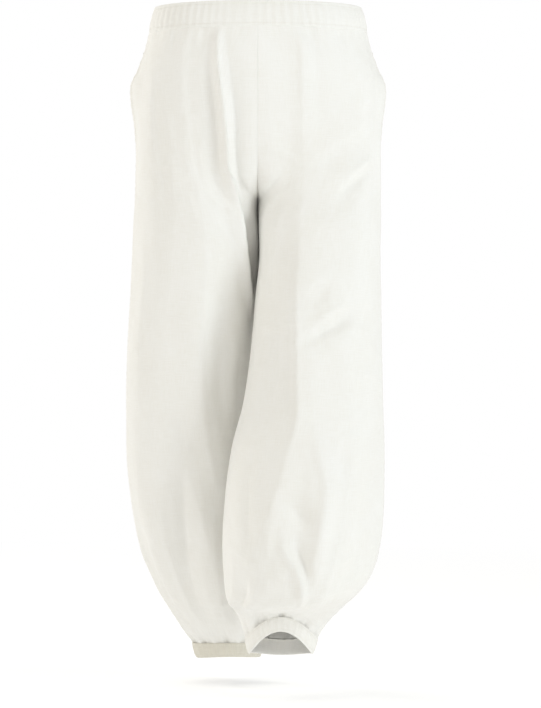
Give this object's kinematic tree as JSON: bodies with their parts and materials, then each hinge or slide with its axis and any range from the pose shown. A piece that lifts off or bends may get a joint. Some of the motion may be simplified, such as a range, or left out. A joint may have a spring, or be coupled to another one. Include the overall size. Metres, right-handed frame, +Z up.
{
  "type": "baggy balloon-leg trousers",
  "caption": "Baggy pull-on trousers with balloon legs, an elastic waist, side pockets and gathered cuffs, hollow and open, held in a walking pose as when worn.",
  "frame": {"origin": "middle of the waist opening, level with the top edge of the waistband", "axes": "+Z up out of the waist, -Y the front of the trousers, +X the wearer's left, whose leg is the forward one"},
  "size_m": [0.378, 0.3972, 0.956],
  "materials": {
    "trouser_cloth": "matt off-white cotton and linen plain weave",
    "casing": "the same cloth, gathered on elastic",
    "cuff_cloth": "the same cloth, doubled and gathered",
    "pocketing": "matt plain pocket cotton"
  },
  "bodies": {
    "root": {"waistband": "casing", "front_left": "trouser_cloth", "front_right": "trouser_cloth", "back_left": "trouser_cloth", "back_right": "trouser_cloth", "cuff_left": "cuff_cloth", "cuff_right": "cuff_cloth", "pocket_left": "pocketing", "pocket_right": "pocketing"}
  },
  "joints": []
}
